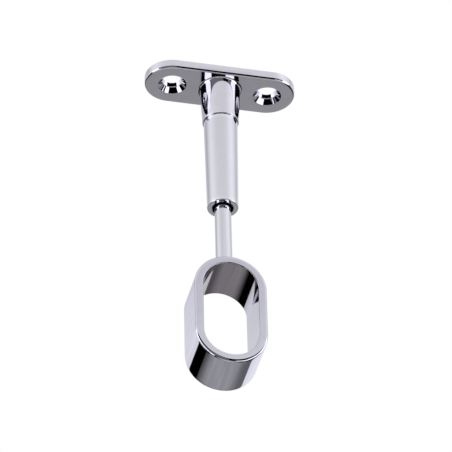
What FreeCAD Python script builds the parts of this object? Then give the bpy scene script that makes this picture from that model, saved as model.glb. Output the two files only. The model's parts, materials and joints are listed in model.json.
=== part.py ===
import FreeCAD, Part
import math
import os

import Sketcher

# Centre bracket that hangs an oval rail from a shelf or a ceiling, in millimetres.
#
# +Z is up, X runs along the mounting plate and Y along the rail. The origin is
# the middle of the plate's top face, the face that meets the shelf.
#
# The pieces, from the top down:
#     mounting_plate  stadium-shaped plate and its conical socket, one casting
#     sleeve          cone whose spigot screws up into the socket
#     threaded_rod    round rod, threaded at its top, that screws into the sleeve
#     rail_ring       stadium-shaped eye that the rail passes through
#
# Each piece has its own origin on the bracket's axis, and depths in its sketches
# are measured downwards from there. Threads are plain cylinders of their outer size.

# ---------------------------------------------------------------------------
# Driving dimensions: alias, value, what it is
# ---------------------------------------------------------------------------
DIMENSIONS = [
    ("plate_length", 44.0, "plate, end to end"),
    ("plate_width", 16.0, "plate, side to side; its ends are half circles"),
    ("plate_thickness", 2.8, "plate"),
    ("plate_edge_radius", 0.65, "rounding of the plate's lower outline"),
    ("plate_top_radius", 0.2, "rounding of the plate's upper outline"),
    ("screw_spacing", 28.0, "between the two screw holes"),
    ("screw_hole_dia", 5.0, "through hole for a 4 mm wood screw"),
    ("screw_land", 0.15, "straight stretch of the hole, next to the shelf"),
    ("screw_flare_dia", 5.6, "hole where its cast taper meets the countersink"),
    ("countersink_dia", 8.2, "90 degree countersink in the plate's underside"),
    ("socket_length", 12.2, "socket below the plate"),
    ("socket_root_dia", 11.8, "socket where it meets the plate"),
    ("socket_end_dia", 10.4, "socket at its lower end"),
    ("socket_root_fillet", 0.7, "fillet between the socket and the plate"),
    ("socket_rim_radius", 0.15, "rounding of the socket's lower rim"),
    ("socket_bore_dia", 8.0, "blind threaded hole in the socket"),
    ("socket_floor", 2.6, "metal left above the blind hole"),
    ("spigot_length", 7.0, "threaded spigot on top of the sleeve"),
    ("spigot_clearance", 0.05, "gap all round the spigot"),
    ("spigot_chamfer", 0.5, "chamfer of the spigot's top end"),
    ("sleeve_length", 30.5, "sleeve below the socket"),
    ("sleeve_top_dia", 9.8, "sleeve where it meets the socket"),
    ("sleeve_end_dia", 8.8, "sleeve at its lower end"),
    ("sleeve_bore_dia", 6.0, "clearance bore that the rod comes out of"),
    ("sleeve_bore_depth", 18.5, "clearance bore, up from the sleeve's lower end"),
    ("sleeve_rim_chamfer", 0.25, "chamfer of the sleeve's outer and bore rims"),
    ("thread_dia", 5.0, "outer diameter of the rod's thread"),
    ("thread_clearance", 0.05, "gap all round the rod's thread"),
    ("thread_length", 24.0, "threaded stretch at the rod's top"),
    ("rod_dia", 4.7, "plain stretch of the rod"),
    ("rod_top_depth", 13.6, "rod's top end below the shelf"),
    ("rod_end_chamfer", 0.5, "chamfer of the rod's top end"),
    ("rod_seat_depth", 1.2, "how far the rod is let into the ring"),
    ("rail_drop", 85.0, "rail's centre line below the shelf"),
    ("rail_width", 15.0, "oval rail, across"),
    ("rail_height", 30.0, "oval rail, upright"),
    ("rail_clearance", 0.25, "gap all round the rail"),
    ("ring_wall", 2.4, "ring's wall"),
    ("ring_depth", 15.0, "ring along the rail"),
    ("ring_edge_radius", 0.75, "rounding of the ring's outer edges"),
    ("ring_mouth_radius", 0.25, "rounding of the ring's inner edges"),
]

# Worked-out sizes: alias, formula
DERIVED = [
    ("plate_end_radius", "plate_width / 2"),
    ("plate_centre_gap", "plate_length - plate_width"),
    ("screw_offset", "screw_spacing / 2"),
    ("screw_hole_radius", "screw_hole_dia / 2"),
    ("screw_flare_radius", "screw_flare_dia / 2"),
    ("countersink_radius", "countersink_dia / 2"),
    ("screw_flare_depth", "plate_thickness - countersink_radius + screw_flare_radius"),
    ("socket_root_radius", "socket_root_dia / 2"),
    ("socket_end_radius", "socket_end_dia / 2"),
    ("socket_end_depth", "plate_thickness + socket_length"),
    ("socket_bore_radius", "socket_bore_dia / 2"),
    ("spigot_radius", "socket_bore_radius - spigot_clearance"),
    ("sleeve_depth", "socket_end_depth - spigot_length"),
    ("sleeve_top_radius", "sleeve_top_dia / 2"),
    ("sleeve_end_radius", "sleeve_end_dia / 2"),
    ("sleeve_bore_radius", "sleeve_bore_dia / 2"),
    ("sleeve_total", "spigot_length + sleeve_length"),
    ("sleeve_thread_end", "sleeve_total - sleeve_bore_depth"),
    ("sleeve_thread_radius", "thread_radius + thread_clearance"),
    ("thread_radius", "thread_dia / 2"),
    ("rod_radius", "rod_dia / 2"),
    ("rod_length", "rail_drop - ring_half_height + rod_seat_depth - rod_top_depth"),
    ("ring_inner_radius", "rail_width / 2 + rail_clearance"),
    ("ring_outer_radius", "ring_inner_radius + ring_wall"),
    ("ring_centre_gap", "rail_height - rail_width"),
    ("ring_half_height", "ring_centre_gap / 2 + ring_outer_radius"),
]

SAME = 1e-4  # two lengths closer than this are the same
ORIGIN = (-1, 1)  # a sketch's own origin, as constraints name it
X_AXIS = -1
Y_AXIS = -2
UP = FreeCAD.Vector(0, 0, 1)

doc = FreeCAD.newDocument("rail_bracket")
sheet = doc.addObject("Spreadsheet::Sheet", "dims")


def fill_sheet():
    """Write the driving dimensions as numbers and the worked-out ones as formulas."""
    for row, (alias, value, meaning) in enumerate(DIMENSIONS, start=1):
        sheet.set(f"A{row}", meaning)
        sheet.set(f"B{row}", str(value))
        sheet.setAlias(f"B{row}", alias)
    first = len(DIMENSIONS) + 1
    for row, worked_out in enumerate(DERIVED, start=first):
        sheet.setAlias(f"B{row}", worked_out[0])
    for row, (_, formula) in enumerate(DERIVED, start=first):
        sheet.set(f"A{row}", "worked out")
        sheet.set(f"B{row}", "=" + formula)
    doc.recompute()


def size(alias):
    """The present value of a size in the sheet."""
    return float(sheet.get(alias))


# ---------------------------------------------------------------------------
# Bodies and sketches
# ---------------------------------------------------------------------------
def new_body(label, depth=None):
    """A body whose own origin lies the named depth below the shelf."""
    body = doc.addObject("PartDesign::Body", label)
    body.Label = label
    if depth:
        body.setExpression("Placement.Base.z", f"-dims.{depth}")
    return body


def origin_plane(body, role):
    """One of the body's own origin planes, such as XY_Plane."""
    return [item for item in body.Origin.OriginFeatures if item.Role == role][0]


def new_sketch(body, name, plane, height=None, along=None):
    """A sketch on an origin plane, moved along its normal or its own X by a formula."""
    sketch = body.newObject("Sketcher::SketchObject", name)
    sketch.AttachmentSupport = [(origin_plane(body, plane), "")]
    sketch.MapMode = "FlatFace"
    if height:
        sketch.setExpression("AttachmentOffset.Base.z", height)
    if along:
        sketch.setExpression("AttachmentOffset.Base.x", along)
    return sketch


def bind(sketch, kind, *where, to):
    """Add a dimension to a sketch and bind it to the named size."""
    number = sketch.addConstraint(Sketcher.Constraint(kind, *where, size(to)))
    sketch.setExpression(f"Constraints[{number}]", f"dims.{to}")


def draw_circle(sketch, radius):
    """A circle of the named radius at the sketch's origin."""
    circle = sketch.addGeometry(Part.Circle(FreeCAD.Vector(), UP, size(radius)))
    sketch.addConstraint(Sketcher.Constraint("Coincident", circle, 3, *ORIGIN))
    bind(sketch, "Radius", circle, to=radius)


def draw_stadium(sketch, gap, radius, upright=False):
    """Two half circles joined by straight sides, centred on the sketch's origin.

    The named gap lies between the circles' centres, along X or upright along Y.
    """
    turn = math.pi / 2 if upright else 0.0
    centre = FreeCAD.Vector(math.cos(turn), math.sin(turn), 0) * (size(gap) / 2)
    quarter = math.pi / 2
    far_circle = Part.Circle(centre, UP, size(radius))
    near_circle = Part.Circle(-centre, UP, size(radius))
    far = Part.ArcOfCircle(far_circle, turn - quarter, turn + quarter)
    near = Part.ArcOfCircle(near_circle, turn + quarter, turn + 3 * quarter)
    one_side = Part.LineSegment(far.EndPoint, near.StartPoint)
    other_side = Part.LineSegment(near.EndPoint, far.StartPoint)
    loop = [sketch.addGeometry(item) for item in (far, one_side, near, other_side)]
    for item, following in zip(loop, loop[1:] + loop[:1]):
        sketch.addConstraint(Sketcher.Constraint("Tangent", item, 2, following, 1))
    axis = Y_AXIS if upright else X_AXIS
    sketch.addConstraint(Sketcher.Constraint("PointOnObject", loop[0], 3, axis))
    sketch.addConstraint(Sketcher.Constraint("Symmetric", loop[0], 3, loop[2], 3, *ORIGIN))
    bind(sketch, "DistanceY" if upright else "DistanceX", loop[2], 3, loop[0], 3, to=gap)
    bind(sketch, "Radius", loop[0], to=radius)


def draw_half_section(sketch, corners):
    """A closed outline of straight edges, to be turned about the sketch's Y axis.

    Each corner names its radius and its depth below the origin; None is zero.
    """
    numbers = [[size(alias) if alias else 0.0 for alias in corner] for corner in corners]
    points = [FreeCAD.Vector(radius, -depth, 0) for radius, depth in numbers]
    ends = zip(points, points[1:] + points[:1])
    lines = [sketch.addGeometry(Part.LineSegment(start, end)) for start, end in ends]
    for line, following in zip(lines, lines[1:] + lines[:1]):
        sketch.addConstraint(Sketcher.Constraint("Coincident", line, 2, following, 1))
    for line, (radius, depth) in zip(lines, corners):
        if radius:
            bind(sketch, "DistanceX", *ORIGIN, line, 1, to=radius)
        else:
            sketch.addConstraint(Sketcher.Constraint("PointOnObject", line, 1, Y_AXIS))
        if depth:
            bind(sketch, "DistanceY", line, 1, *ORIGIN, to=depth)
        else:
            sketch.addConstraint(Sketcher.Constraint("PointOnObject", line, 1, X_AXIS))


# ---------------------------------------------------------------------------
# Features
# ---------------------------------------------------------------------------
def pad(body, name, sketch, length, downwards=False, both_ways=False):
    """Pad a sketch by the named length."""
    feature = body.newObject("PartDesign::Pad", name)
    feature.Profile = sketch
    feature.Reversed = downwards
    feature.Midplane = both_ways
    feature.setExpression("Length", f"dims.{length}")
    doc.recompute()
    return feature


def turn(body, kind, name, sketch):
    """Turn a half section about its Y axis: a Revolution adds, a Groove removes."""
    feature = body.newObject(f"PartDesign::{kind}", name)
    feature.Profile = sketch
    feature.ReferenceAxis = (sketch, ["V_Axis"])
    feature.Angle = 360.0
    doc.recompute()
    return feature


def edges_where(feature, wanted):
    """Names of the edges of a feature's shape that pass the test."""
    edges = enumerate(feature.Shape.Edges, start=1)
    return [f"Edge{number}" for number, edge in edges if wanted(edge)]


def dress(body, kind, name, feature, wanted, amount):
    """Put a Fillet or a Chamfer of the named size on the edges that pass the test."""
    names = edges_where(feature, wanted)
    if not names:
        raise ValueError(f"{name}: no edge to dress")
    dressed = body.newObject(f"PartDesign::{kind}", name)
    dressed.Base = (feature, names)
    dressed.setExpression("Radius" if kind == "Fillet" else "Size", f"dims.{amount}")
    doc.recompute()
    return dressed


def level(edge, height):
    """True for an edge that lies flat at this height in its body's own frame."""
    box = edge.BoundBox
    return abs(box.ZMin - height) < SAME and abs(box.ZMax - height) < SAME


def rim(height, radius):
    """A test for the round edge of this height and radius on the body's axis."""
    def wanted(edge):
        box = edge.BoundBox
        reach = max(abs(box.XMin), abs(box.XMax), abs(box.YMin), abs(box.YMax))
        return level(edge, height) and abs(reach - radius) < SAME
    return wanted


# ---------------------------------------------------------------------------
# Pieces
# ---------------------------------------------------------------------------
def make_mounting_plate():
    """Plate with two countersunk holes, and the conical socket below it."""
    body = new_body("mounting_plate")
    underside = -size("plate_thickness")
    half_width = size("plate_end_radius")

    outline = new_sketch(body, "plate_outline", "XY_Plane")
    draw_stadium(outline, "plate_centre_gap", "plate_end_radius")
    pad(body, "plate", outline, "plate_thickness", downwards=True)

    cone = new_sketch(body, "socket_section", "XZ_Plane")
    draw_half_section(cone, [(None, None), ("socket_root_radius", None),
                             ("socket_root_radius", "plate_thickness"),
                             ("socket_end_radius", "socket_end_depth"),
                             (None, "socket_end_depth")])
    turn(body, "Revolution", "socket", cone)

    hole = new_sketch(body, "socket_bore_section", "XZ_Plane")
    draw_half_section(hole, [(None, "socket_floor"), ("socket_bore_radius", "socket_floor"),
                             ("socket_bore_radius", "socket_end_depth"),
                             (None, "socket_end_depth")])
    bored = turn(body, "Groove", "socket_bore", hole)

    for side, offset in (("left", "-dims.screw_offset"), ("right", "dims.screw_offset")):
        screw = new_sketch(body, f"{side}_screw_section", "XZ_Plane", along=offset)
        draw_half_section(screw, [(None, None), ("screw_hole_radius", None),
                                  ("screw_hole_radius", "screw_land"),
                                  ("screw_flare_radius", "screw_flare_depth"),
                                  ("countersink_radius", "plate_thickness"),
                                  (None, "plate_thickness")])
        before = bored.Shape.Volume
        bored = turn(body, "Groove", f"{side}_screw_hole", screw)
        if bored.Shape.Volume >= before:
            raise ValueError(f"the {side} screw hole removed nothing")

    root = dress(body, "Fillet", "socket_root", bored,
                 rim(underside, size("socket_root_radius")), "socket_root_fillet")
    socket_end = dress(body, "Fillet", "socket_rim", root,
                       rim(-size("socket_end_depth"), size("socket_end_radius")),
                       "socket_rim_radius")

    def outline_at(height):
        def wanted(edge):
            box = edge.BoundBox
            reach = max(abs(box.YMin), abs(box.YMax))
            return level(edge, height) and abs(reach - half_width) < SAME
        return wanted

    lower = dress(body, "Fillet", "plate_lower_edge", socket_end, outline_at(underside),
                  "plate_edge_radius")
    dress(body, "Fillet", "plate_upper_edge", lower, outline_at(0.0), "plate_top_radius")
    return body


def make_sleeve():
    """Cone with a threaded spigot above, a threaded hole and a clearance bore."""
    body = new_body("sleeve", "sleeve_depth")
    section = new_sketch(body, "sleeve_section", "XZ_Plane")
    draw_half_section(section, [("sleeve_thread_radius", None), ("spigot_radius", None),
                                ("spigot_radius", "spigot_length"),
                                ("sleeve_top_radius", "spigot_length"),
                                ("sleeve_end_radius", "sleeve_total"),
                                ("sleeve_bore_radius", "sleeve_total"),
                                ("sleeve_bore_radius", "sleeve_thread_end"),
                                ("sleeve_thread_radius", "sleeve_thread_end")])
    cone = turn(body, "Revolution", "cone", section)
    end = -size("sleeve_total")
    outer = dress(body, "Chamfer", "end_rim", cone, rim(end, size("sleeve_end_radius")),
                  "sleeve_rim_chamfer")
    mouth = dress(body, "Chamfer", "bore_rim", outer, rim(end, size("sleeve_bore_radius")),
                  "sleeve_rim_chamfer")
    dress(body, "Chamfer", "spigot_rim", mouth, rim(0.0, size("spigot_radius")),
          "spigot_chamfer")
    return body


def make_threaded_rod():
    """Round rod, threaded at its top, whose lower end is let into the ring."""
    body = new_body("threaded_rod", "rod_top_depth")
    section = new_sketch(body, "rod_section", "XZ_Plane")
    draw_half_section(section, [(None, None), ("thread_radius", None),
                                ("thread_radius", "thread_length"),
                                ("rod_radius", "thread_length"),
                                ("rod_radius", "rod_length"), (None, "rod_length")])
    rod = turn(body, "Revolution", "rod", section)
    dress(body, "Chamfer", "rod_tip", rod, rim(0.0, size("thread_radius")), "rod_end_chamfer")
    return body


def make_rail_ring():
    """Stadium-shaped eye round the rail, with a blind seat for the rod on top."""
    body = new_body("rail_ring", "rail_drop")
    outline = new_sketch(body, "ring_outline", "XZ_Plane")
    draw_stadium(outline, "ring_centre_gap", "ring_outer_radius", upright=True)
    draw_stadium(outline, "ring_centre_gap", "ring_inner_radius", upright=True)
    ring = pad(body, "ring", outline, "ring_depth", both_ways=True)

    place = new_sketch(body, "rod_seat_place", "XY_Plane", "dims.ring_half_height")
    draw_circle(place, "rod_radius")
    seat = body.newObject("PartDesign::Pocket", "rod_seat")
    seat.Profile = place
    seat.setExpression("Length", "dims.rod_seat_depth")
    doc.recompute()
    if seat.Shape.Volume >= ring.Shape.Volume:
        raise ValueError("the rod seat removed nothing")

    half_depth = size("ring_depth") / 2
    half_gap = size("ring_centre_gap") / 2

    def stadium_edges(radius):
        def wanted(edge):
            flat = abs(abs(edge.BoundBox.YMin) - half_depth) < SAME
            flat = flat and edge.BoundBox.YLength < SAME
            middle = edge.valueAt((edge.FirstParameter + edge.LastParameter) / 2)
            past_straight = max(abs(middle.z) - half_gap, 0.0)
            return flat and abs(math.hypot(middle.x, past_straight) - radius) < SAME
        return wanted

    outer = dress(body, "Fillet", "ring_outer_edges", seat,
                  stadium_edges(size("ring_outer_radius")), "ring_edge_radius")
    dress(body, "Fillet", "ring_mouth_edges", outer,
          stadium_edges(size("ring_inner_radius")), "ring_mouth_radius")
    return body


# ---------------------------------------------------------------------------
# Build, check and write
# ---------------------------------------------------------------------------
def check(objects):
    """Stop if any object failed to recompute or has a null or broken shape."""
    for item in objects:
        if "Invalid" in item.State or "Error" in item.State:
            raise ValueError(f"{item.Label}: {item.State}")
        shape = getattr(item, "Shape", None)
        if item.isDerivedFrom("Part::Feature") and (shape.isNull() or not shape.isValid()):
            raise ValueError(f"{item.Label}: bad shape")


fill_sheet()
pieces = [make_mounting_plate(), make_sleeve(), make_threaded_rod(), make_rail_ring()]
doc.recompute()
check(doc.Objects)
os.makedirs("parts", exist_ok=True)
for piece in pieces:
    if len(piece.Shape.Solids) != 1:
        raise ValueError(f"{piece.Label}: not one solid")
    piece.Shape.exportStep(f"parts/{piece.Label}.step")
    box = piece.Shape.BoundBox
    print(f"{piece.Label}: {piece.Shape.Volume:.1f} mm3,"
          f" x {box.XMin:.2f} to {box.XMax:.2f}, y {box.YMin:.2f} to {box.YMax:.2f},"
          f" z {box.ZMin:.2f} to {box.ZMax:.2f}")
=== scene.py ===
# %% [markdown]
# A bracket that hangs an oval rail from a shelf, finished in bright chrome. On the
# real one a cast plate is screwed up against the shelf, a tapered sleeve screws
# into the plate's socket, and a rod with a cast ring at its end screws up or down
# in the sleeve to set the rail's height.
#
# The CAD model gives those four pieces: mounting_plate, sleeve, threaded_rod and
# rail_ring. Their meshes could be shown as they are, but they are triangles with a
# facet for every few degrees, and a mirror finish shows each facet. So this lesson
# works every piece out again as a fine smooth surface with the CAD sizes, and lets
# it stand for its CAD node.

# %% Load the CAD frame
import json
import math

import bmesh
import bpy
import numpy as np
from mathutils import Matrix, Vector


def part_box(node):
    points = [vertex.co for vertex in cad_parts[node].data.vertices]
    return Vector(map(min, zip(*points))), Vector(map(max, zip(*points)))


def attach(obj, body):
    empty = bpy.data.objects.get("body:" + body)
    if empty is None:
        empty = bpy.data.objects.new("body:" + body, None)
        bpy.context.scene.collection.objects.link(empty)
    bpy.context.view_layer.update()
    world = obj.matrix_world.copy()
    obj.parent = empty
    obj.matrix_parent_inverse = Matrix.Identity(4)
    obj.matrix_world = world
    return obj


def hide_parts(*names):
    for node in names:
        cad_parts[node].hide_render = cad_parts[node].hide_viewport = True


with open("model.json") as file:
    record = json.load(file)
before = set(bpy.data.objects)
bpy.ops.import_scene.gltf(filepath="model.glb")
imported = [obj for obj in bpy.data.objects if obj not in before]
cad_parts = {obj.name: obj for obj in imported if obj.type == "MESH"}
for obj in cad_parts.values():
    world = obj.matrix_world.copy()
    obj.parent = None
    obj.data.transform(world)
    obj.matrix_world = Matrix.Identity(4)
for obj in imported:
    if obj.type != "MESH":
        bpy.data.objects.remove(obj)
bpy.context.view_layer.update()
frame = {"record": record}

# %% [markdown]
# What the frame can say about sizes is read from it: the box round each piece, and
# the screw holes from the record. The sizes inside a piece are the CAD's driving
# sizes, and stand where that piece is made. Lengths are in metres, so a size in
# millimetres is multiplied by MM.

# %% What the frame says about sizes
MM = 0.001


def box_of(node):
    """Lowest and highest corner of a CAD node as two numpy arrays."""
    low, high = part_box(node)
    return np.array(low), np.array(high)


plate_low, plate_high = box_of("mounting_plate")
sleeve_low = box_of("sleeve")[0]
rod_low, rod_high = box_of("threaded_rod")
ring_low, ring_high = box_of("rail_ring")
mounts = {mount["name"]: mount for mount in frame["record"]["mounts"]}
screw_holes = mounts["screw_holes"]["dims"]
print("plate", plate_high - plate_low, "m; ring", ring_high - ring_low, "m")

# %% [markdown]
# Every solid here is a handful of surfaces, and each surface is a grid of points
# that depends on two parameters. The helper below joins grids into one closed
# mesh: it stacks their points, makes a four-sided face between each pair of
# neighbouring rows and columns, and merges the points where two grids meet. A
# modifier then weighs the shading by face size, so that a flat face next to a
# small round edge still reflects like a flat mirror.

# %% Turn grids of points into a closed mesh
SAME = 1e-6  # metres; points closer than this are one point
SHARP_FOLD = math.radians(28)  # a steeper fold than this stays sharp


def grid_faces(rows, columns, first):
    """Corner numbers of the faces of a rows x columns grid whose points start at first.

    Face (i, j) joins points (i, j), (i, j+1), (i+1, j+1) and (i+1, j).
    """
    number = first + np.arange(rows * columns).reshape(rows, columns)
    corners = (number[:-1, :-1], number[:-1, 1:], number[1:, 1:], number[1:, :-1])
    return np.stack(corners, axis=-1).reshape(-1, 4)


def solid_from(name, grids):
    """One closed object from grids of points (rows, columns, 3), merged where they meet."""
    starts = np.cumsum([0] + [grid.shape[0] * grid.shape[1] for grid in grids])
    points = np.concatenate([grid.reshape(-1, 3) for grid in grids])
    faces = [grid_faces(*grid.shape[:2], start) for grid, start in zip(grids, starts)]
    mesh = bpy.data.meshes.new(name)
    mesh.from_pydata(points.tolist(), [], np.concatenate(faces).tolist())
    work = bmesh.new()
    work.from_mesh(mesh)
    bmesh.ops.remove_doubles(work, verts=work.verts, dist=SAME)
    bmesh.ops.dissolve_degenerate(work, edges=work.edges, dist=SAME)
    bmesh.ops.recalc_face_normals(work, faces=work.faces)
    open_edges = sum(len(edge.link_faces) != 2 for edge in work.edges)
    work.to_mesh(mesh)
    work.free()
    mesh.shade_smooth()
    mesh.set_sharp_from_angle(angle=SHARP_FOLD)
    piece = bpy.data.objects.new(name, mesh)
    bpy.context.scene.collection.objects.link(piece)
    weigh = piece.modifiers.new("flat faces stay flat", "WEIGHTED_NORMAL")
    weigh.keep_sharp = True
    weigh.weight = 80
    print(f"{name}: {len(mesh.polygons)} faces, {open_edges} open edges")
    return piece


print("folds above", round(math.degrees(SHARP_FOLD)), "degrees stay sharp")

# %% [markdown]
# Castings and turned parts have no knife edges: each corner of a section is
# rounded a little, and on chrome that thin curve catches a line of light. A bevel
# modifier could do that on the finished mesh, but it also cuts where several
# surfaces meet and leaves uneven faces. So sections are given as sharp corners
# with a radius each, and rounded by arcs before they are carried round.


# %% Round the corners of a section
def rounded(corners, radii, steps=8, closed=False):
    """Points of a section whose corners are replaced by arcs.

    With directions a and b from the corner to its neighbours, and t the angle
    between them, the arc's centre lies r / sin(t/2) along their bisector and it
    touches both sides r / tan(t/2) from the corner. Radius 0 keeps the corner.
    """
    corners = np.array(corners, float)
    count = len(corners)
    out = []
    for place, radius in enumerate(radii):
        here = corners[place]
        if radius == 0 or (not closed and place in (0, count - 1)):
            out.append(here[None])
            continue
        before = corners[place - 1] - here
        after = corners[(place + 1) % count] - here
        before /= np.linalg.norm(before)
        after /= np.linalg.norm(after)
        half = math.acos(np.clip(before @ after, -1, 1)) / 2
        bisector = (before + after) / np.linalg.norm(before + after)
        centre = here + bisector * radius / math.sin(half)
        start = here + before * radius / math.tan(half) - centre
        end = here + after * radius / math.tan(half) - centre
        sweep = math.pi - 2 * half
        share = np.linspace(0, 1, steps + 1)[:, None]
        arc = (np.sin((1 - share) * sweep) * start + np.sin(share * sweep) * end) / math.sin(sweep)
        out.append(centre + arc)
    return np.concatenate(out)


def closed_loop(section):
    """The section with its first point repeated at the end."""
    return np.concatenate([section, section[:1]])


def filled(section, longest):
    """The section with extra points, so that no step is longer than longest.

    longest is one length, or one for each step of the section.
    """
    lengths = np.linalg.norm(np.diff(section, axis=0), axis=1)
    counts = np.maximum(np.ceil(lengths / longest), 1).astype(int)
    runs = [start + (end - start) * np.arange(count)[:, None] / count
            for start, end, count in zip(section[:-1], section[1:], counts)]
    return np.concatenate(runs + [section[-1:]])


corner = rounded([(0, 0), (1, 0), (1, 1)], [0, 0.5, 0])
print("one rounded corner in", len(corner), "points")

# %% [markdown]
# Two ways to carry a section. A turned piece takes it round the bracket's axis.
# The plate's rim and the ring take it round a stadium: a straight core with half
# circles at its ends, where every point lies a distance rho out from the core.


# %% Carry a section round an axis or a stadium
def turned(radius, height, angles, centre=0.0):
    """Surface of revolution: (centre + r cos a, r sin a, z).

    radius is one number for each height, or a whole grid of them.
    """
    radius = np.asarray(radius)
    radius = radius[:, None] if radius.ndim == 1 else radius
    height = np.asarray(height)[:, None] + 0 * radius
    x = centre + radius * np.cos(angles)
    y = radius * np.sin(angles)
    return np.stack([x, y, height + 0 * x], axis=-1)


def stadium(core, arc_steps, runs):
    """Core points and outward directions round a stadium, first point repeated last.

    Along the half circles the core point stays at the core's end and the
    direction turns; along the straights the direction stays and the core point
    runs through the given places.
    """
    turn = np.linspace(-math.pi / 2, math.pi / 2, arc_steps + 1)
    right = np.stack([np.full_like(turn, core), np.cos(turn), np.sin(turn)], axis=1)
    left = np.stack([np.full_like(turn, -core), -np.cos(turn), -np.sin(turn)], axis=1)
    back = np.stack([runs[::-1], 0 * runs, 0 * runs + 1], axis=1)
    front = np.stack([runs, 0 * runs, 0 * runs - 1], axis=1)
    loop = np.concatenate([right, back, left, front, right[:1]])
    return loop[:, 0], loop[:, 1:]


full_turn = np.linspace(0, 2 * math.pi, 257)
full_turn[-1] = 0.0
print("a full turn in", len(full_turn) - 1, "steps")

# %% [markdown]
# The mounting plate is a casting: a stadium-shaped plate with its socket below.
# Its underside is one flat face between a stadium outline and three round edges:
# two countersinks and the fillet at the socket's root. Cutting the holes with
# booleans would leave long thin triangles that spoil the reflections. So two lines
# across the plate split it into three fields, each with one round edge inside, and
# a field is a simple blend: rows of points that go from its outer border to its
# round edge along straight lines.

# %% Outline of the plate
plate_end_radius = (plate_high[1] - plate_low[1]) / 2
plate_core = (plate_high[0] - plate_low[0]) / 2 - plate_end_radius
plate_thickness = 2.8 * MM
plate_lower_rounding = 0.65 * MM
plate_upper_rounding = 0.2 * MM
screw_offset = screw_holes["spacing_x_mm"] * MM / 2
split = 8.2 * MM  # the two lines across the plate, left and right of its middle

lower_border = plate_end_radius - plate_lower_rounding
upper_border = plate_end_radius - plate_upper_rounding
straight_runs = np.concatenate([np.linspace(-plate_core, -split, 24)[1:],
                                np.linspace(-split, split, 72)[1:],
                                np.linspace(split, plate_core, 24)[1:-1]])
plate_along, plate_out = stadium(plate_core, 96, straight_runs)
print("plate end radius", plate_end_radius, "outline points:", len(plate_along))

# %% [markdown]
# The border of a field is part of the plate's outline, closed by one or both of
# the lines across. Its points, seen from the field's round edge, also give the
# bearings at which that edge is drawn, so that border and edge have the same
# number of points and the blend between them needs no extra ones.


# %% The three fields of the plate
def plate_loop(rho):
    """The loop of points at distance rho from the plate's core."""
    return np.stack([plate_along + rho * plate_out[:, 0], rho * plate_out[:, 1]], axis=1)


def across(place, rho, up):
    """Points on the line x = place from one long side to the other."""
    y = np.linspace(-rho, rho, 96) * (1 if up else -1)
    return np.stack([np.full_like(y, place), y], axis=1)


def field_border(rho, side):
    """Closed border of one field: side -1 left, 0 middle, 1 right."""
    loop = plate_loop(rho)[:-1]
    near = 1e-9
    if side == 0:
        inside = loop[np.abs(loop[:, 0]) <= split + near]
        upper = inside[inside[:, 1] > 0]
        lower = inside[inside[:, 1] < 0]
        upper = upper[np.argsort(-upper[:, 0])]
        lower = lower[np.argsort(lower[:, 0])]
        return np.concatenate([across(split, rho, True)[:-1], upper[:-1],
                               across(-split, rho, False)[:-1], lower])
    inside = loop[loop[:, 0] * side >= split - near]
    bearing = np.arctan2(inside[:, 1], inside[:, 0] * side - screw_offset)
    inside = inside[np.argsort(bearing)]
    return np.concatenate([inside, across(side * split, rho, False)[1:]])


def bearings(side):
    """Directions from a field's centre to the points of its border on the underside."""
    outer = field_border(lower_border, side)
    return np.arctan2(outer[:, 1], outer[:, 0] - side * screw_offset)


def field(rho, side, height, radius, rows=10):
    """Flat grid from a field's border to the circle of this radius about its centre.

    Row t is (1 - t) times the border plus t times the circle.
    """
    angles = bearings(side)
    circle = radius * np.stack([np.cos(angles), np.sin(angles)], axis=1)
    circle[:, 0] += side * screw_offset
    share = np.linspace(0, 1, rows)[:, None, None]
    flat = (1 - share) * field_border(rho, side) + share * circle
    return np.concatenate([flat, np.full(flat.shape[:2] + (1,), height)], axis=2)


print("points round the middle field:", len(field_border(lower_border, 0)))

# %% [markdown]
# Between the underside and the top face run three walls: the rim round the
# outline, the screw holes and the socket. A screw hole is a 90 degree countersink,
# as deep as it narrows, then the slight taper that lets a casting leave its mould,
# and a short straight stretch next to the shelf. The sections start and end a
# little way out on the flat faces, so that the first and last corners are rounded
# too; that extra point is dropped again.

# %% Surfaces of the plate and its socket
underside = -plate_thickness
beyond = 1 * MM  # how far a section first runs out on a flat face

screw_radius = screw_holes["hole_r_mm"] * MM
screw_land = 0.15 * MM
screw_flare_radius = 2.8 * MM
countersink_radius = 4.1 * MM
countersink_depth = countersink_radius - screw_flare_radius

socket_root_radius = 5.9 * MM
socket_end_radius = 5.2 * MM
socket_bore_radius = 4.0 * MM
socket_floor = 2.6 * MM
socket_end = -plate_low[2]

rim_section = rounded([(0.0, underside), (plate_end_radius, underside),
                       (plate_end_radius, 0.0), (0.0, 0.0)],
                      [0, plate_lower_rounding, plate_upper_rounding, 0])[1:-1]
rim = np.stack([np.concatenate([plate_loop(rho), np.full((len(plate_along), 1), height)], axis=1)
                for rho, height in rim_section])

hole_corners = [(countersink_radius + beyond, underside), (countersink_radius, underside),
                (screw_flare_radius, underside + countersink_depth), (screw_radius, -screw_land),
                (screw_radius, 0.0), (screw_radius + beyond, 0.0)]
hole_softness = [0, 0.12 * MM, 0.15 * MM, 0.05 * MM, 0.08 * MM, 0]
hole_section = filled(rounded(hole_corners, hole_softness, steps=5)[1:-1], 0.3 * MM)

socket_corners = [(10 * MM, underside), (socket_root_radius, underside),
                  (socket_end_radius, -socket_end), (socket_bore_radius, -socket_end),
                  (socket_bore_radius, -socket_floor), (0.0, -socket_floor)]
socket_softness = [0, 0.7 * MM, 0.15 * MM, 0.1 * MM, 0.3 * MM, 0]
socket_section = filled(rounded(socket_corners, socket_softness)[1:], 0.5 * MM)

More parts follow.
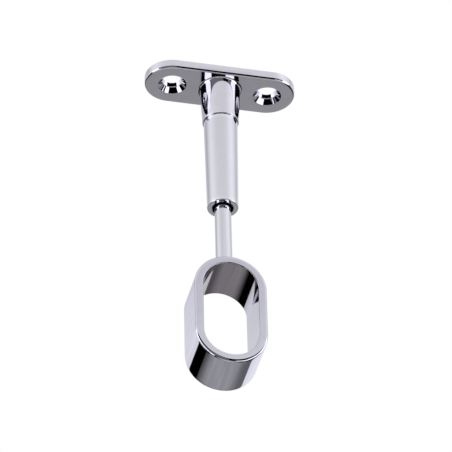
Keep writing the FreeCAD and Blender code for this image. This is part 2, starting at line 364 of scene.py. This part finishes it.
plate_grids = [rim, field(lower_border, 0, underside, socket_section[0, 0]),
               turned(socket_section[:, 0], socket_section[:, 1], bearings(0)),
               field(upper_border, 0, 0.0, 0.0)]
for side in (-1, 1):
    plate_grids += [field(lower_border, side, underside, hole_section[0, 0]),
                    turned(hole_section[:, 0], hole_section[:, 1], bearings(side), side * screw_offset),
                    field(upper_border, side, 0.0, hole_section[-1, 0])]
mounting_plate = solid_from("plate_and_socket", plate_grids)

# %% [markdown]
# A screw thread could be a helix swept along the axis and joined to the rod. It is
# simpler, and closes by itself, as the same turned surface with a radius that also
# depends on the angle: it falls from the thread's outer radius by a rounded zigzag
# that climbs one pitch per turn. The thread fades out over its last turn, as a cut
# one does.


# %% Thread on a turned piece
THREAD_SHARE = 0.54  # depth of a thread as a share of its pitch


def thread_depth(height, angles, pitch, low, high):
    """How far the thread lies below its outer radius at each height and angle.

    With s = height / pitch - angle / 2 pi, the groove is 0.54 pitch deep where s is
    halfway between whole numbers and nothing where it is whole, cut flat at both.
    The depth fades to nothing over one pitch below the upper and above the lower end.
    """
    height = np.asarray(height)[:, None]
    turns = height / pitch - angles / (2 * math.pi)
    zigzag = np.abs((turns % 1) - 0.5) * 2
    groove = np.clip((1 - zigzag) * 1.25 - 0.12, 0, 1)
    fade = np.clip(np.minimum(height - low, high - height) / pitch, 0, 1)
    return THREAD_SHARE * pitch * groove * fade


def at_radius(section, radius):
    """Which points of a section lie at this radius."""
    return np.abs(section[:, 0] - radius) < SAME


def filled_for_thread(section, radius, fine, coarse):
    """The section with fine steps where it runs along the thread's radius, coarse elsewhere."""
    along = at_radius(section, radius)
    return filled(section, np.where(along[:-1] & along[1:], fine, coarse))


def threaded(section, angles, radius, pitch, low, high):
    """A turned surface whose section is cut by a thread where it lies at this radius.

    Each point's radius is its radius in the section less the thread's depth there.
    """
    cut = at_radius(section, radius)[:, None] * thread_depth(section[:, 1], angles, pitch, low, high)
    return turned(section[:, :1] - cut, section[:, 1], angles)


print("a thread is", THREAD_SHARE, "of its pitch deep")

# %% [markdown]
# The sleeve is a slim cone. Its lower end is a flat ring with slightly broken rims
# round the clearance bore that the rod comes out of, and its spigot, hidden in the
# socket, carries a thread. Bore, cone and spigot are one closed section, carried
# once round the axis, so the surface has no joins to match.

# %% Surfaces of the sleeve
spigot_radius = 3.95 * MM
spigot_length = 7.0 * MM
spigot_pitch = 1.0 * MM
spigot_run_out = 0.4 * MM  # plain stretch at each end of the spigot's thread
sleeve_top_radius = 4.9 * MM
sleeve_end_radius = 4.4 * MM
sleeve_bore_radius = 3.0 * MM
sleeve_bore_depth = 18.5 * MM
sleeve_thread_radius = 2.55 * MM

sleeve_end = sleeve_low[2]
sleeve_seat = -socket_end
spigot_top = sleeve_seat + spigot_length
bore_top = sleeve_end + sleeve_bore_depth
sleeve_corners = [(sleeve_thread_radius, spigot_top), (spigot_radius, spigot_top),
                  (spigot_radius, sleeve_seat), (sleeve_top_radius, sleeve_seat),
                  (sleeve_end_radius, sleeve_end), (sleeve_bore_radius, sleeve_end),
                  (sleeve_bore_radius, bore_top), (sleeve_thread_radius, bore_top)]
sleeve_softness = np.array([0.15, 0.5, 0.05, 0.12, 0.2, 0.2, 0.1, 0.1]) * MM
sleeve_section = closed_loop(rounded(sleeve_corners, sleeve_softness, closed=True))
sleeve_section = filled_for_thread(sleeve_section, spigot_radius, 0.1 * MM, 1.5 * MM)
sleeve = solid_from("tapered_sleeve", [threaded(sleeve_section, full_turn, spigot_radius, spigot_pitch,
                                                sleeve_seat + spigot_run_out,
                                                spigot_top - spigot_run_out)])

# %% [markdown]
# The rod is drawn steel, plain where it shows. Its upper end carries the thread
# that sets the bracket's height, and its lower end is let into the top of the ring.
# It is turned like the sleeve, with short steps only where the thread needs them.

# %% Surfaces of the rod
thread_radius = (rod_high[0] - rod_low[0]) / 2
thread_length = 24.0 * MM
thread_pitch = 0.8 * MM
rod_radius = 2.35 * MM
tip_chamfer = 0.5 * MM

rod_top, rod_bottom = rod_high[2], rod_low[2]
thread_end = rod_top - thread_length
rod_corners = [(0.0, rod_top), (thread_radius, rod_top), (thread_radius, thread_end),
               (rod_radius, thread_end), (rod_radius, rod_bottom), (0.0, rod_bottom)]
rod_section = rounded(rod_corners, [0, tip_chamfer, 0.1 * MM, 0.04 * MM, 0.1 * MM, 0])
rod_section = filled_for_thread(rod_section, thread_radius, 0.07 * MM, 1.0 * MM)
rod = solid_from("height_rod", [threaded(rod_section, full_turn[::2], thread_radius, thread_pitch,
                                         thread_end + 0.1 * MM, rod_top - tip_chamfer)])

# %% [markdown]
# The ring is a casting: one wall round an upright stadium. A tube bent into that
# shape would stretch at its bends, so the section is carried round instead: four
# rounded corners, 2.4 mm thick and as wide as the ring is deep.

# %% Surfaces of the ring
ring_wall = 2.4 * MM
ring_outer_radius = (ring_high[0] - ring_low[0]) / 2
ring_inner_radius = ring_outer_radius - ring_wall
ring_core = (ring_high[2] - ring_low[2]) / 2 - ring_outer_radius
ring_centre = (ring_high[2] + ring_low[2]) / 2
ring_half_depth = (ring_high[1] - ring_low[1]) / 2

ring_corners = [(ring_inner_radius, -ring_half_depth), (ring_outer_radius, -ring_half_depth),
                (ring_outer_radius, ring_half_depth), (ring_inner_radius, ring_half_depth)]
ring_softness = np.array([0.25, 0.75, 0.75, 0.25]) * MM
ring_section = filled(closed_loop(rounded(ring_corners, ring_softness, closed=True)), 0.6 * MM)
ring_along, ring_out = stadium(ring_core, 128, np.linspace(-ring_core, ring_core, 24)[1:-1])
rho, depth = ring_section[:, :1], ring_section[:, 1:]
ring_grid = np.stack([rho * ring_out[:, 1] + 0 * depth, depth + 0 * ring_along,
                      ring_centre + ring_along + rho * ring_out[:, 0]], axis=2)
rail_ring = solid_from("rail_eye", [ring_grid])

# %% [markdown]
# Each new piece now stands for its CAD node and rides on the same body. Plate and
# sleeve stay put; rod and ring slide up and down together when the height is set.

# %% Put the pieces on their bodies
places = [(mounting_plate, "mounting_plate", "holder", "plate_chrome"),
          (sleeve, "sleeve", "holder", "sleeve_chrome"),
          (rod, "threaded_rod", "hanger", "rod_chrome"),
          (rail_ring, "rail_ring", "hanger", "ring_chrome")]
for piece, cad_node, body, finish in places:
    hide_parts(cad_node)
    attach(piece, body)
    print(piece.name, "stands for", cad_node, "on", body)

# %% [markdown]
# Bright chrome is a mirror with a faint cool tint. Three small things keep it from
# looking like a computer's mirror: the casting below is not quite flat, so
# reflections bend a little (waves); the plating has a very fine grain (grain);
# and its polish changes slightly from place to place (roughness between two
# values, with faint clouds of tone). Painted image textures could carry all that,
# but noise worked out from Object coordinates needs no unwrapping and has no seams.


# %% Chrome
def chrome(name, tone, polish, waves, grain, clouds, painted_shade=None):
    """Bright chrome plate on a casting or a turned piece.

    polish is the lowest and highest roughness. waves is the slow unevenness of the
    metal and grain the fine one: size in mm, depth in mm and the scale along X, Y
    and Z, where a low scale draws it out along that axis. clouds is the same for
    tone: size in mm, darkest share of the tone, and scale. The last argument paints
    shade that darkens the colour upwards: the two heights in metres and the share
    that is left.
    """
    material = bpy.data.materials.new(name)
    material.use_nodes = True
    nodes, links = material.node_tree.nodes, material.node_tree.links
    shader = nodes["Principled BSDF"]
    shader.inputs["Metallic"].default_value = 1.0
    shader.inputs["Specular Tint"].default_value = (0.94, 0.95, 1.0, 1)
    place = nodes.new("ShaderNodeTexCoord").outputs["Object"]

    def noise(size, scale=(1, 1, 1), detail=2.0):
        """Noise whose bumps are this many mm wide where the scale is 1."""
        spread = nodes.new("ShaderNodeMapping")
        spread.inputs["Scale"].default_value = scale
        links.new(place, spread.inputs["Vector"])
        texture = nodes.new("ShaderNodeTexNoise")
        texture.inputs["Scale"].default_value = 1 / (size * MM)
        texture.inputs["Detail"].default_value = detail
        links.new(spread.outputs["Vector"], texture.inputs["Vector"])
        return texture.outputs["Fac"]

    def map_range(value, ranges, kind="LINEAR"):
        """A Map Range node: ranges holds From Min, From Max, To Min and To Max."""
        ranged = nodes.new("ShaderNodeMapRange")
        ranged.interpolation_type = kind
        for socket, number in zip(("From Min", "From Max", "To Min", "To Max"), ranges):
            ranged.inputs[socket].default_value = number
        links.new(value, ranged.inputs["Value"])
        return ranged.outputs["Result"]

    def spread_over(factor, low, high):
        """The middle of the noise, 0.3 to 0.7, stretched over these two values."""
        return map_range(factor, (0.3, 0.7, low, high))

    tint = nodes.new("ShaderNodeMix")
    tint.data_type = "RGBA"
    tint.inputs["A"].default_value = (*[clouds[1] * value for value in tone], 1)
    tint.inputs["B"].default_value = (*tone, 1)
    links.new(spread_over(noise(clouds[0], clouds[2]), 0, 1), tint.inputs["Factor"])
    links.new(spread_over(noise(3.0), *polish), shader.inputs["Roughness"])
    colour = tint.outputs["Result"]
    # Painted shade: the colour is multiplied down towards the given share between the two heights.
    if painted_shade:
        height = nodes.new("ShaderNodeSeparateXYZ")
        links.new(place, height.inputs[0])
        fade = nodes.new("ShaderNodeMix")
        fade.data_type = "RGBA"
        fade.blend_type = "MULTIPLY"
        fade.inputs["B"].default_value = (*painted_shade[2], 1)
        links.new(map_range(height.outputs["Z"], (painted_shade[0], painted_shade[1], 0, 1), "SMOOTHSTEP"),
                  fade.inputs["Factor"])
        links.new(colour, fade.inputs["A"])
        colour = fade.outputs["Result"]
    links.new(colour, shader.inputs["Base Color"])

    bumps = []
    for size, depth, scale in (waves, grain):
        bump = nodes.new("ShaderNodeBump")
        bump.inputs["Distance"].default_value = depth * MM
        links.new(noise(size, scale, detail=1.0), bump.inputs["Height"])
        bumps.append(bump)
    links.new(bumps[0].outputs["Normal"], bumps[1].inputs["Normal"])
    links.new(bumps[1].outputs["Normal"], shader.inputs["Normal"])
    print(name, "made of", len(nodes), "nodes")
    return material


# %% [markdown]
# One recipe, six finishes. On a round piece the unevenness is drawn out along its
# axis (upright), on the ring along the rail (along_rail). The ring has three
# finishes: its two end faces; its outer surface, where polishing leaves fine lines;
# and its inside, painted darker as shade and a little rougher, with a warm painted
# shade at the top of the opening. Over the whole ring the colour also darkens a
# little upwards, which is painted shade too.

# %% Finishes of the four pieces
cool = np.array([0.82, 0.82, 0.905])
ring_tone = np.array([0.765, 0.76, 0.86])
even, upright, along_rail = (1, 1, 1), (1, 1, 0.12), (1, 0.06, 1)
arch = ring_centre + ring_core  # height where the ring's upper half circle begins

cast_chrome = chrome("chrome on the cast plate", (0.77, 0.762, 0.85), (0.03, 0.06), (5.0, 0.010, even),
                     (0.5, 0.0003, even), (2.0, 0.95, even))
sleeve_chrome = chrome("chrome on the turned sleeve", cool, (0.04, 0.07), (6.0, 0.006, upright),
                       (0.4, 0.0003, even), (5.0, 0.97, even))
rod_chrome = chrome("chrome on the drawn rod", 1.09 * cool, (0.04, 0.07), (2.0, 0.002, upright),
                    (0.3, 0.0002, even), (1.3, 0.85, (1, 1, 0.03)))
# The ring's colour carries painted shade: it grows a tenth darker towards the ring's top.
ring_chrome = chrome("chrome on the ring", ring_tone, (0.03, 0.06), (4.0, 0.010, along_rail),
                     (0.5, 0.0004, even), (2.0, 0.96, even),
                     painted_shade=(ring_centre - 20 * MM, arch + 8 * MM, (0.90, 0.90, 0.91)))
side_chrome = chrome("polishing lines round the ring", 1.05 * ring_tone, (0.03, 0.06),
                     (4.0, 0.010, along_rail), (0.5, 0.0004, even), (1.1, 0.80, along_rail))
# Inside the ring the colour is painted darker as shade, and warmer and darker still at the top of the
# opening.
shaded_inner_chrome = chrome("chrome inside the ring with painted shade", 0.80 * cool, (0.04, 0.09),
                      (3.0, 0.008, along_rail), (0.6, 0.0006, even), (0.8, 0.90, along_rail),
                      painted_shade=(arch, arch + 5 * MM, (0.74, 0.68, 0.69)))
for piece, materials in ((mounting_plate, [cast_chrome]), (sleeve, [sleeve_chrome]),
                         (rod, [rod_chrome]), (rail_ring, [ring_chrome, side_chrome, shaded_inner_chrome])):
    for material in materials:
        piece.data.materials.append(material)

# %% [markdown]
# Which of the ring's three finishes a face takes follows from how far its middle
# lies from the ring's core line: at the outer radius it is on the outer surface,
# at the inner radius on the inner one, and between them on an end face.

# %% Share the ring's finishes out
EDGE = 0.05 * MM
centres = np.empty(3 * len(rail_ring.data.polygons))
rail_ring.data.polygons.foreach_get("center", centres)
centres = centres.reshape(-1, 3) - (0, 0, ring_centre)
past_core = np.maximum(np.abs(centres[:, 2]) - ring_core, 0)
from_core = np.hypot(centres[:, 0], past_core)
outside = from_core > ring_outer_radius - EDGE
inside = from_core < ring_inner_radius + EDGE
rail_ring.data.polygons.foreach_set("material_index", (1 * outside + 2 * inside).astype(np.int32))
print("ring faces outside:", outside.sum(), "inside:", inside.sum())

# %% [markdown]
# Chrome has no look of its own: it shows the room. A studio for it is a set of
# large soft lights with dark gaps between them. Lamps and panels could be set up
# as objects, but each would have to be hidden from the camera and could stand in
# the way of another view. Here the room is the world's shader, which answers one
# question: how bright is it in this direction? The direction is given as a
# bearing, 0 straight in front of the bracket and 90 to its right, and an
# elevation above the horizon, both in degrees.

# %% Helpers for the room's shader
world = bpy.data.worlds.new("studio")
bpy.context.scene.world = world
world.use_nodes = True
room_nodes, room_links = world.node_tree.nodes, world.node_tree.links


def math_node(operation, *values):
    """A Math node; each value is a number or another node's output."""
    node = room_nodes.new("ShaderNodeMath")
    node.operation = operation
    for socket, value in zip(node.inputs, values):
        if isinstance(value, (int, float)):
            socket.default_value = value
        else:
            room_links.new(value, socket)
    return node.outputs[0]


def product(*values):
    """All values multiplied together."""
    result = values[0]
    for value in values[1:]:
        result = math_node("MULTIPLY", result, value)
    return result


def total(*values):
    """All values added together."""
    result = values[0]
    for value in values[1:]:
        result = math_node("ADD", result, value)
    return result


def without(mask):
    """1 minus the mask: everything that it leaves out."""
    return math_node("SUBTRACT", 1.0, mask)


def rise(value, low, high):
    """0 below low, 1 above high, and a smooth step between; falls if low is above high."""
    node = room_nodes.new("ShaderNodeMapRange")
    node.interpolation_type = "SMOOTHSTEP"
    node.inputs["From Min"].default_value = min(low, high)
    node.inputs["From Max"].default_value = max(low, high)
    node.inputs["To Min"].default_value = 0.0 if low < high else 1.0
    node.inputs["To Max"].default_value = 1.0 if low < high else 0.0
    room_links.new(value, node.inputs["Value"])
    return node.outputs["Result"]


print("room shader starts with", len(room_nodes), "nodes")

# %% [markdown]
# Bearing and elevation come from the direction's three parts: the bearing is the
# angle of X against minus Y, and the elevation is the arc sine of Z. Two shapes
# are cut out of the bearing: a soft bell, and a panel with blurred edges.

# %% Bearing, elevation, and shapes cut from them
direction = room_nodes.new("ShaderNodeSeparateXYZ")
room_links.new(room_nodes.new("ShaderNodeTexCoord").outputs["Generated"], direction.inputs[0])
towards_front = math_node("MULTIPLY", direction.outputs["Y"], -1.0)
bearing = math_node("DEGREES", math_node("ARCTAN2", direction.outputs["X"], towards_front))
elevation = math_node("DEGREES", math_node("ARCSINE", direction.outputs["Z"]))


def turned_from(middle):
    """How many degrees the bearing lies from this one, always between -180 and 180."""
    return math_node("WRAP", math_node("SUBTRACT", bearing, float(middle)), 180.0, -180.0)


def glow(middle, width):
    """A soft bell round a bearing: exp(-(turn / width) squared)."""
    share = math_node("DIVIDE", turned_from(middle), float(width))
    return math_node("EXPONENT", math_node("MULTIPLY", math_node("MULTIPLY", share, share), -1.0))


def panel(middle, half_width, edge):
    """1 within half_width degrees of a bearing, falling to 0 over the last edge degrees."""
    turn = math_node("ABSOLUTE", turned_from(middle))
    return rise(math_node("SUBTRACT", half_width, turn), 0, edge)


print("room shader nodes so far:", len(room_nodes))

# %% [markdown]
# The ceiling is one broad light of strength 0.70. It grows a little brighter
# towards the walls and again overhead, has soft patches where lamps hang above it
# and dark gaps between them, and ends at a horizon. That horizon is not level:
# high in front, where a dark screen stands, and on the left behind the bracket,
# and just below the bracket's own height elsewhere.

# %% The ceiling and the horizon
CEILING_LIGHT = 0.70
high_up = rise(elevation, 27, 34)
gaps = total(product(glow(-134, 20), -0.21), product(glow(106, 13), -0.12))
low_ceiling = product(rise(elevation, 38, 28), total(0.17, product(glow(14, 35), -0.09)))
overhead = product(rise(elevation, 37, 40), 0.09)
low_patch = product(rise(elevation, 36.5, 34.5), glow(-168, 12), 0.13)
patches = [product(glow(middle, width), strength)
           for middle, width, strength in ((-86, 28, 0.165), (59, 30, 0.23), (143, 16, 0.09))]
ceiling = total(CEILING_LIGHT, low_ceiling, overhead, product(high_up, gaps), low_patch, *patches)

left_behind = glow(-143, 30)
front = panel(-6.5, 58, 3)
horizon = total(-3.0, product(left_behind, 14.7), product(front, 27.0))
above = rise(math_node("SUBTRACT", elevation, horizon), -1.2, 1.2)
print("ceiling and horizon:", len(room_nodes), "nodes")

# %% [markdown]
# Below the horizon the room is darker. The floor shows behind the bracket, grey
# and uneven, and again straight below it. Dim walls stand to the left, to the
# right and in front, and without them the bracket would be half black from the
# side. A slit between the walls in front stays dark.

# %% The floor and the walls
near_floor = product(without(left_behind), 0.15)
far_floor = total(product(rise(elevation, -12, -33), total(0.20, product(left_behind, 0.10))),
                  product(rise(elevation, -10.5, -12.5), left_behind, 0.10),
                  product(rise(elevation, -37, -41), -0.05))
width_behind = total(40, product(rise(elevation, -28, -35), -8))
floor_behind = product(panel(178, width_behind, 5), total(near_floor, far_floor))
floor_under = product(rise(elevation, -54, -62), 0.40)

SIDE_WALL_LIGHT, FRONT_WALL_LIGHT = 0.32, 0.22
side_walls = product(total(panel(-117, 20, 6), panel(112, 24, 6)), rise(elevation, -24, -16),
                     SIDE_WALL_LIGHT)
wall_in_front = math_node("SUBTRACT", panel(-6.5, 60, 10), panel(19, 16, 4))
front_wall = product(wall_in_front, rise(elevation, -40, -35), rise(elevation, 5, 1), FRONT_WALL_LIGHT)
walls = total(side_walls, front_wall)
room = total(product(above, ceiling), product(without(above), total(floor_behind, floor_under, walls)))
print("floor and walls:", len(room_nodes), "nodes")

# %% [markdown]
# Two pairs of softboxes stand left and right, by far the brightest things in the
# room: a tall pair beside the bracket, and a low, wide pair below them. They draw
# the white bands on every curve, and cover what lies behind them.

# %% The side lights, and all of it together
SOFTBOX_LIGHT = 1.6
tall = product(rise(elevation, -41, -37), rise(elevation, 34, 22))
low = product(rise(elevation, -54, -50), rise(elevation, -37, -41))
side_lights = total(product(tall, total(panel(-80, 16.5, 3), panel(66.5, 16.5, 3))),
                    product(low, total(panel(-87, 26, 4), panel(55, 31, 4))))
brightness = total(product(without(side_lights), room), product(side_lights, SOFTBOX_LIGHT))
room_nodes["Background"].inputs["Color"].default_value = (1, 1, 1, 1)
room_links.new(brightness, room_nodes["Background"].inputs["Strength"])
print("room shader nodes:", len(room_nodes))

# %% [markdown]
# The bracket hangs in front of a plain white backdrop, 1.3 m above a plain pale
# floor. Both are only for the eye: rays that bounce off the chrome pass through
# them and find the lights of the room, as if floor and backdrop were put in later.
# The floor lies so deep that a camera can look up at the bracket from far below.


# %% Floor and backdrop
def plain(name, colour, glowing):
    """One even colour, either lit by the room or glowing by itself."""
    material = bpy.data.materials.new(name)
    material.use_nodes = True
    shader = material.node_tree.nodes["Principled BSDF"]
    shader.inputs["Base Color"].default_value = (*colour, 1)
    shader.inputs["Roughness"].default_value = 0.9
    if glowing:
        shader.inputs["Base Color"].default_value = (0, 0, 0, 1)
        shader.inputs["Emission Color"].default_value = (*colour, 1)
        shader.inputs["Emission Strength"].default_value = 1.0
        shader.inputs["Specular IOR Level"].default_value = 0.0
    return material


def stage_piece(name, grid, material):
    """A grid of points for the set, seen by the camera and by the light on the floor only."""
    mesh = bpy.data.meshes.new(name)
    mesh.from_pydata(grid.reshape(-1, 3).tolist(), [], grid_faces(*grid.shape[:2], 0).tolist())
    mesh.shade_smooth()
    mesh.materials.append(material)
    thing = bpy.data.objects.new(name, mesh)
    bpy.context.scene.collection.objects.link(thing)
    thing.visible_glossy = False
    thing.visible_shadow = False


FLOOR_LEVEL = -1.3  # metres
BACKDROP_RADIUS = 3.6
stage_turn = np.linspace(0, 2 * math.pi, 97)
tilt = np.linspace(-math.pi / 2, math.pi / 2, 49)
stage_piece("backdrop", turned(BACKDROP_RADIUS * np.cos(tilt), BACKDROP_RADIUS * np.sin(tilt), stage_turn),
            plain("white backdrop", (1, 1, 1), True))
floor_radius = np.linspace(0, 3.3, 12)
stage_piece("floor", turned(floor_radius, np.full_like(floor_radius, FLOOR_LEVEL), stage_turn),
            plain("pale floor", (0.88, 0.88, 0.88), False))
print("floor at", FLOOR_LEVEL, "m, backdrop", BACKDROP_RADIUS, "m away")

# %% [markdown]
# The camera stands below and to the left in front, looks up at the bracket, and
# has a long lens, which keeps the plate's sides nearly parallel. A constraint
# could aim it, but it is also rolled a little, so it is placed directly, by the
# point that it looks at, its distance, and three angles: yaw to the right, pitch
# upwards, and roll about the line of sight.

# %% Camera
aim = Vector((0.0008, 0.0, -0.0515))
distance = 0.9704
yaw, pitch, roll = (math.radians(angle) for angle in (13.50, 36.82, 1.50))
forward = Vector((math.sin(yaw) * math.cos(pitch), math.cos(yaw) * math.cos(pitch), math.sin(pitch)))
level_right = Vector((math.cos(yaw), -math.sin(yaw), 0.0))
level_down = forward.cross(level_right)
right = math.cos(roll) * level_right + math.sin(roll) * level_down
down = forward.cross(right)
camera_data = bpy.data.cameras.new("long lens")
camera_data.sensor_width = 36.0  # millimetres, like the lens
camera_data.lens = 275.8
camera = bpy.data.objects.new("camera", camera_data)
bpy.context.scene.collection.objects.link(camera)
camera.matrix_world = Matrix.Translation(aim - distance * forward) @ Matrix(
    (right, -down, -forward)).transposed().to_4x4()
bpy.context.scene.camera = camera
bpy.context.scene.view_settings.view_transform = "Standard"
print("camera at", [round(value, 3) for value in camera.location])
